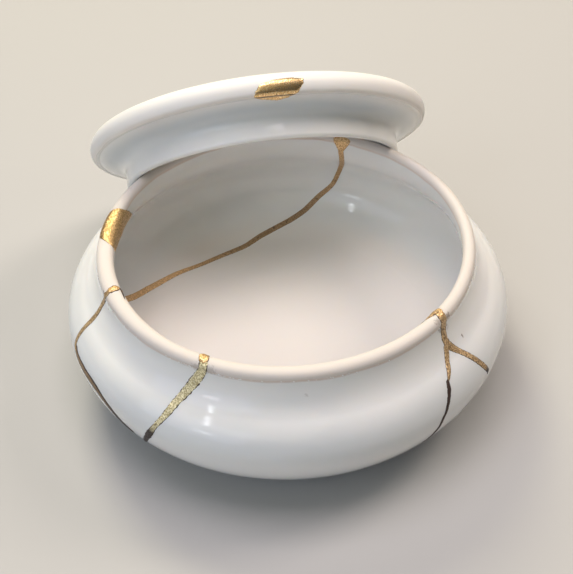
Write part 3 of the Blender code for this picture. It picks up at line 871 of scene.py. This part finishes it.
CLAW_LINE = ((319.6, -1.7, 0.6), (317.2, -1.7, 0.5), (315.2, -1.6, 0.45), (313.2, -1.5, 0.25))
FRONT, FORKED = ("front_seam", "front_seam_gold"), ("forked_seam", "forked_seam_gold")
lay_seam("front_seam_lacquer", widened(FRONT_WAY, 0.15), dark_lacquer, *FRONT, crown=0.0001, fray=1.1,
         seed=5.5)
lay_seam("front_seam_gold_line", FRONT_WAY, pale_gold, *FRONT, crown=0.0002, fray=0.7, lump=0.00018,
         seed=5.0)
lay_seam("front_cap_gold", CAP_WAY, bright_gold, *FRONT, crown=0.00026, fray=0.3, lump=0.0001,
         seed=5.2)
lay_seam("forked_seam_lacquer", widened(STEM_WAY, 0.15), dark_lacquer, *FORKED, crown=0.0001, fray=0.8,
         seed=6.5)
lay_seam("forked_seam_stem", STEM_WAY, tan_gold, *FORKED, fray=0.5, seed=6.0)
lay_seam("forked_branch_lacquer", widened(BRANCH_WAY, 0.12), dark_lacquer, *FORKED, crown=0.0001, fray=0.6,
         seed=7.5)
lay_seam("forked_seam_branch", BRANCH_WAY, tan_gold, *FORKED, fray=0.4, seed=7.0, crown=0.00017)
lay_seam("forked_black_thread", BLACK_WAY, dark_lacquer, *FORKED, fray=1.3, seed=7.8, crown=0.00012)
lay_seam("stem_cap_gold", STEM_CAP, bright_gold, *FORKED, fray=0.4, seed=6.3, crown=0.00022)
lay_seam("claw_lacquer", CLAW_LINE, dark_lacquer, *FORKED, fray=0.5, seed=8.5, crown=0.00008)
lay_seam("claw_gold", CLAW_WAY, bright_gold, *FORKED, fray=0.4, seed=8.0, crown=0.00018)

# %% [markdown]
# ## Gold over the chipped edges
#
# Two chips were built up again with lacquer and gilded: one over the rim at the left, one over the rounded
# edge of the lid. Each outline is drawn round the chip by azimuth and run. Rings shrink from the outline to
# its middle, raised above the skin for the gold and sunk below it for the root, and the two sheets join at
# the outline.


# %% Lay a patch
def lay_patch(name, skin, outline, finish, node, resting=None, shade_line_at=None,
              proud=0.16, ragged=0.14, seed=3):
    """A gold patch inside an outline of azimuth and run, closed with a root; along one run its gold is
    thinned into a dark line of painted shade.
    """
    keys = np.array(outline, float)
    count, rings = 220, 16
    closed = np.vstack([keys, keys[:1]])
    scale = np.array([math.radians(1) * skin.at(keys[:, 1].mean())[0], 1.0])
    length = np.concatenate([[0], np.cumsum(np.linalg.norm(np.diff(closed * scale, axis=0), axis=1))])
    even = np.linspace(0, length[-1], count, endpoint=False)
    edge = np.stack([np.interp(even, length, closed[:, k]) for k in (0, 1)], 1)
    for _ in range(3):
        edge = (np.roll(edge, 1, 0) + 2 * edge + np.roll(edge, -1, 0)) / 4
    dice = np.random.default_rng(seed)
    wild = np.convolve(np.tile(dice.normal(0, 1, count), 3), np.ones(4) / 4, "same")[count:2 * count]
    middle = edge.mean(0)
    outward = (edge - middle) * scale
    outward /= np.linalg.norm(outward, axis=1)[:, None]
    edge = edge + outward * (wild * ragged)[:, None] / scale
    shaping = bmesh.new()
    layers = {label: shaping.verts.layers.float.new(label) for label in ("edge", "gold")}

    def sheet(heights, masks):
        made = []
        for share, height, mask in zip(np.linspace(1, 0, rings + 1)[:-1], heights, masks):
            ring = []
            for azimuth, run in middle + (edge - middle) * share:
                # Along one run the gold is thinned to a dark line of painted shade, at the turn of the lid's
                # edge.
                line = 0 if shade_line_at is None else 0.75 * math.exp(-((run - shade_line_at) / 0.3) ** 2)
                vert = shaping.verts.new(skin.place(azimuth, run, height)[0] * MM)
                vert[layers["edge"]] = mask
                vert[layers["gold"]] = 1 - line
                ring.append(vert)
            made.append(ring)
        tip = shaping.verts.new(skin.place(*middle, heights[-1])[0] * MM)
        tip[layers["gold"]] = 1.0
        for one, two in zip(made, made[1:]):
            for k in range(count):
                shaping.faces.new((one[k], one[k - 1], two[k - 1], two[k]))
        for k in range(count):
            shaping.faces.new((made[-1][k], made[-1][k - 1], tip))
        return made[0]

    rise = np.sqrt(np.clip(np.arange(rings) / 2.5, 0, 1))
    top = sheet(proud * rise - 0.02, 1 - np.clip(np.arange(rings) / 2.0, 0, 1))
    root = sheet(np.full(rings, -0.5), np.ones(rings))
    for k in range(count):
        shaping.faces.new((top[k], top[k - 1], root[k - 1], root[k]))
    if resting is not None:
        bmesh.ops.transform(shaping, matrix=resting, verts=shaping.verts)
    bmesh.ops.recalc_face_normals(shaping, faces=shaping.faces)
    mesh = bpy.data.meshes.new(name)
    shaping.to_mesh(mesh)
    shaping.free()
    mesh.materials.append(finish)
    mesh.shade_smooth()
    piece = add_object(name, mesh)
    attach(piece, "root")
    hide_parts(node)
    print(name, "faces:", len(mesh.polygons))


RIM_PATCH = (
    (162.6, 0), (163.6, 1.4), (166.4, 2.4), (170, 2.7), (174, 2.5), (177.6, 1.6), (179.4, 0.5), (180.9, -0.4),
    (181.6, -1.5), (181.2, -3), (180, -4.4), (176.8, -5.8), (173.4, -6.5), (168.7, -6.9), (163.6, -7.2),
    (158, -8.3), (153.8, -9.9), (155, -7.8), (158.8, -4), (162.3, -1.2),
)
LID_PATCH = (
    (-95.3, 8.6), (-94.6, 7.2), (-93.2, 5.8), (-90.4, 4.9), (-86.4, 4.4), (-83.4, 4.4), (-79.5, 4.9),
    (-80, 6.4), (-81.4, 8.3), (-82.6, 9.7), (-84.6, 10.9), (-87.6, 11.5), (-90.6, 10.9), (-92.4, 10.6),
    (-94.2, 10),
)
lay_patch("left_rim_gold_patch", bowl_skin, RIM_PATCH, patch_gold, "left_rim_mend")
# The dark line at run 8.9 on the lid patch is painted shade at the turn of the edge.
lay_patch("lid_edge_gold_patch", lid_skin, LID_PATCH, lid_gold, "lid_edge_mend", LID_REST,
          shade_line_at=8.9)

# %% [markdown]
# ## Floor, light and camera
#
# A plain pale floor and soft light keep the eye on the glaze. The camera stands where it stood for the
# picture of the real box: in front and above, looking down at a little over forty degrees. A tall slit and
# a small window give the sharp glints on the glaze, and the slit is rolled so that its glint stands
# upright.

# %% Set the stage
floor_mesh = bpy.data.meshes.new("table_top")
floor_mesh.from_pydata([(-3, -3, 0), (3, -3, 0), (3, 3, 0), (-3, 3, 0)], [], [(0, 1, 2, 3)])
table_top = add_object("table_top", floor_mesh)
stage_look, _, stage_shader = start_material("pale_paper")
stage_shader.inputs["Base Color"].default_value = (0.48, 0.475, 0.47, 1)
stage_shader.inputs["Roughness"].default_value = 0.9
floor_mesh.materials.append(stage_look)


def soft_light(name, place, aim, size, power, colour, roll=0.0):
    data = bpy.data.lights.new(name, "AREA")
    data.shape = "RECTANGLE"
    data.size, data.size_y = size
    data.energy = power
    data.color = colour
    lamp = add_object(name, data)
    lamp.location = place
    facing = (Vector(aim) - Vector(place)).to_track_quat("-Z", "Y")
    lamp.rotation_euler = (facing @ Quaternion((0, 0, 1), math.radians(roll))).to_euler()


LIGHTS = (
    ("overhead_sheet", (0, 0, 0.9), (0.55, 0.55), 4.2, (1.0, 0.9, 0.88)),
    ("high_behind_left", (-0.23, 0.556, 0.669), (0.3, 0.3), 4.6, (1.0, 0.93, 0.67)),
    ("high_right", (0.556, 0.23, 0.669), (0.3, 0.3), 3.1, (1.0, 0.88, 0.77)),
    ("high_left", (-0.308, 0, 0.846), (0.45, 0.45), 1.1, (0.82, 0.87, 1.0)),
    ("high_front_left", (-0.23, -0.556, 0.669), (0.9, 0.7), 1.2, (1.0, 0.98, 0.75)),
    ("cool_front_left", (-0.581, -0.581, 0.366), (0.8, 0.6), 1.8, (0.62, 0.75, 1.0)),
    ("tall_slit", (-0.445, -0.455, 0.636), (0.022, 0.32), 0.3, (0.9, 0.95, 1.0), 16.4),
    ("small_window", (-0.535, -0.661, 0.3), (0.13, 0.08), 0.13, (0.9, 0.95, 1.0)),
)
for name, place, size, power, tint, *roll in LIGHTS:
    soft_light(name, place, (0, 0, 0.03), size, power, tint, *roll)
print("lights:", len(LIGHTS))

bpy.context.scene.view_settings.view_transform = "Standard"
world = bpy.data.worlds.new("soft_room")
bpy.context.scene.world = world
world.use_nodes = True
world.node_tree.nodes["Background"].inputs[0].default_value = (0.9, 0.95, 1.0, 1)
world.node_tree.nodes["Background"].inputs[1].default_value = 0.02

EYE, AIM, EYE_ROLL = (0.0, -0.21987, 0.22801), (-0.00016, 0.0, 0.02439), -1.883
camera_data = bpy.data.cameras.new("eye")
camera_data.sensor_fit = "VERTICAL"
camera_data.sensor_height = 36.0
camera_data.lens = 70.985
camera_data.clip_start = 0.01
camera = add_object("eye", camera_data)
camera.location = EYE
level = (Vector(AIM) - Vector(camera.location)).to_track_quat("-Z", "Y").to_matrix()
camera.rotation_euler = (level @ Matrix.Rotation(math.radians(EYE_ROLL), 3, "Z")).to_euler()
bpy.context.scene.camera = camera
print("camera lens:", camera_data.lens)
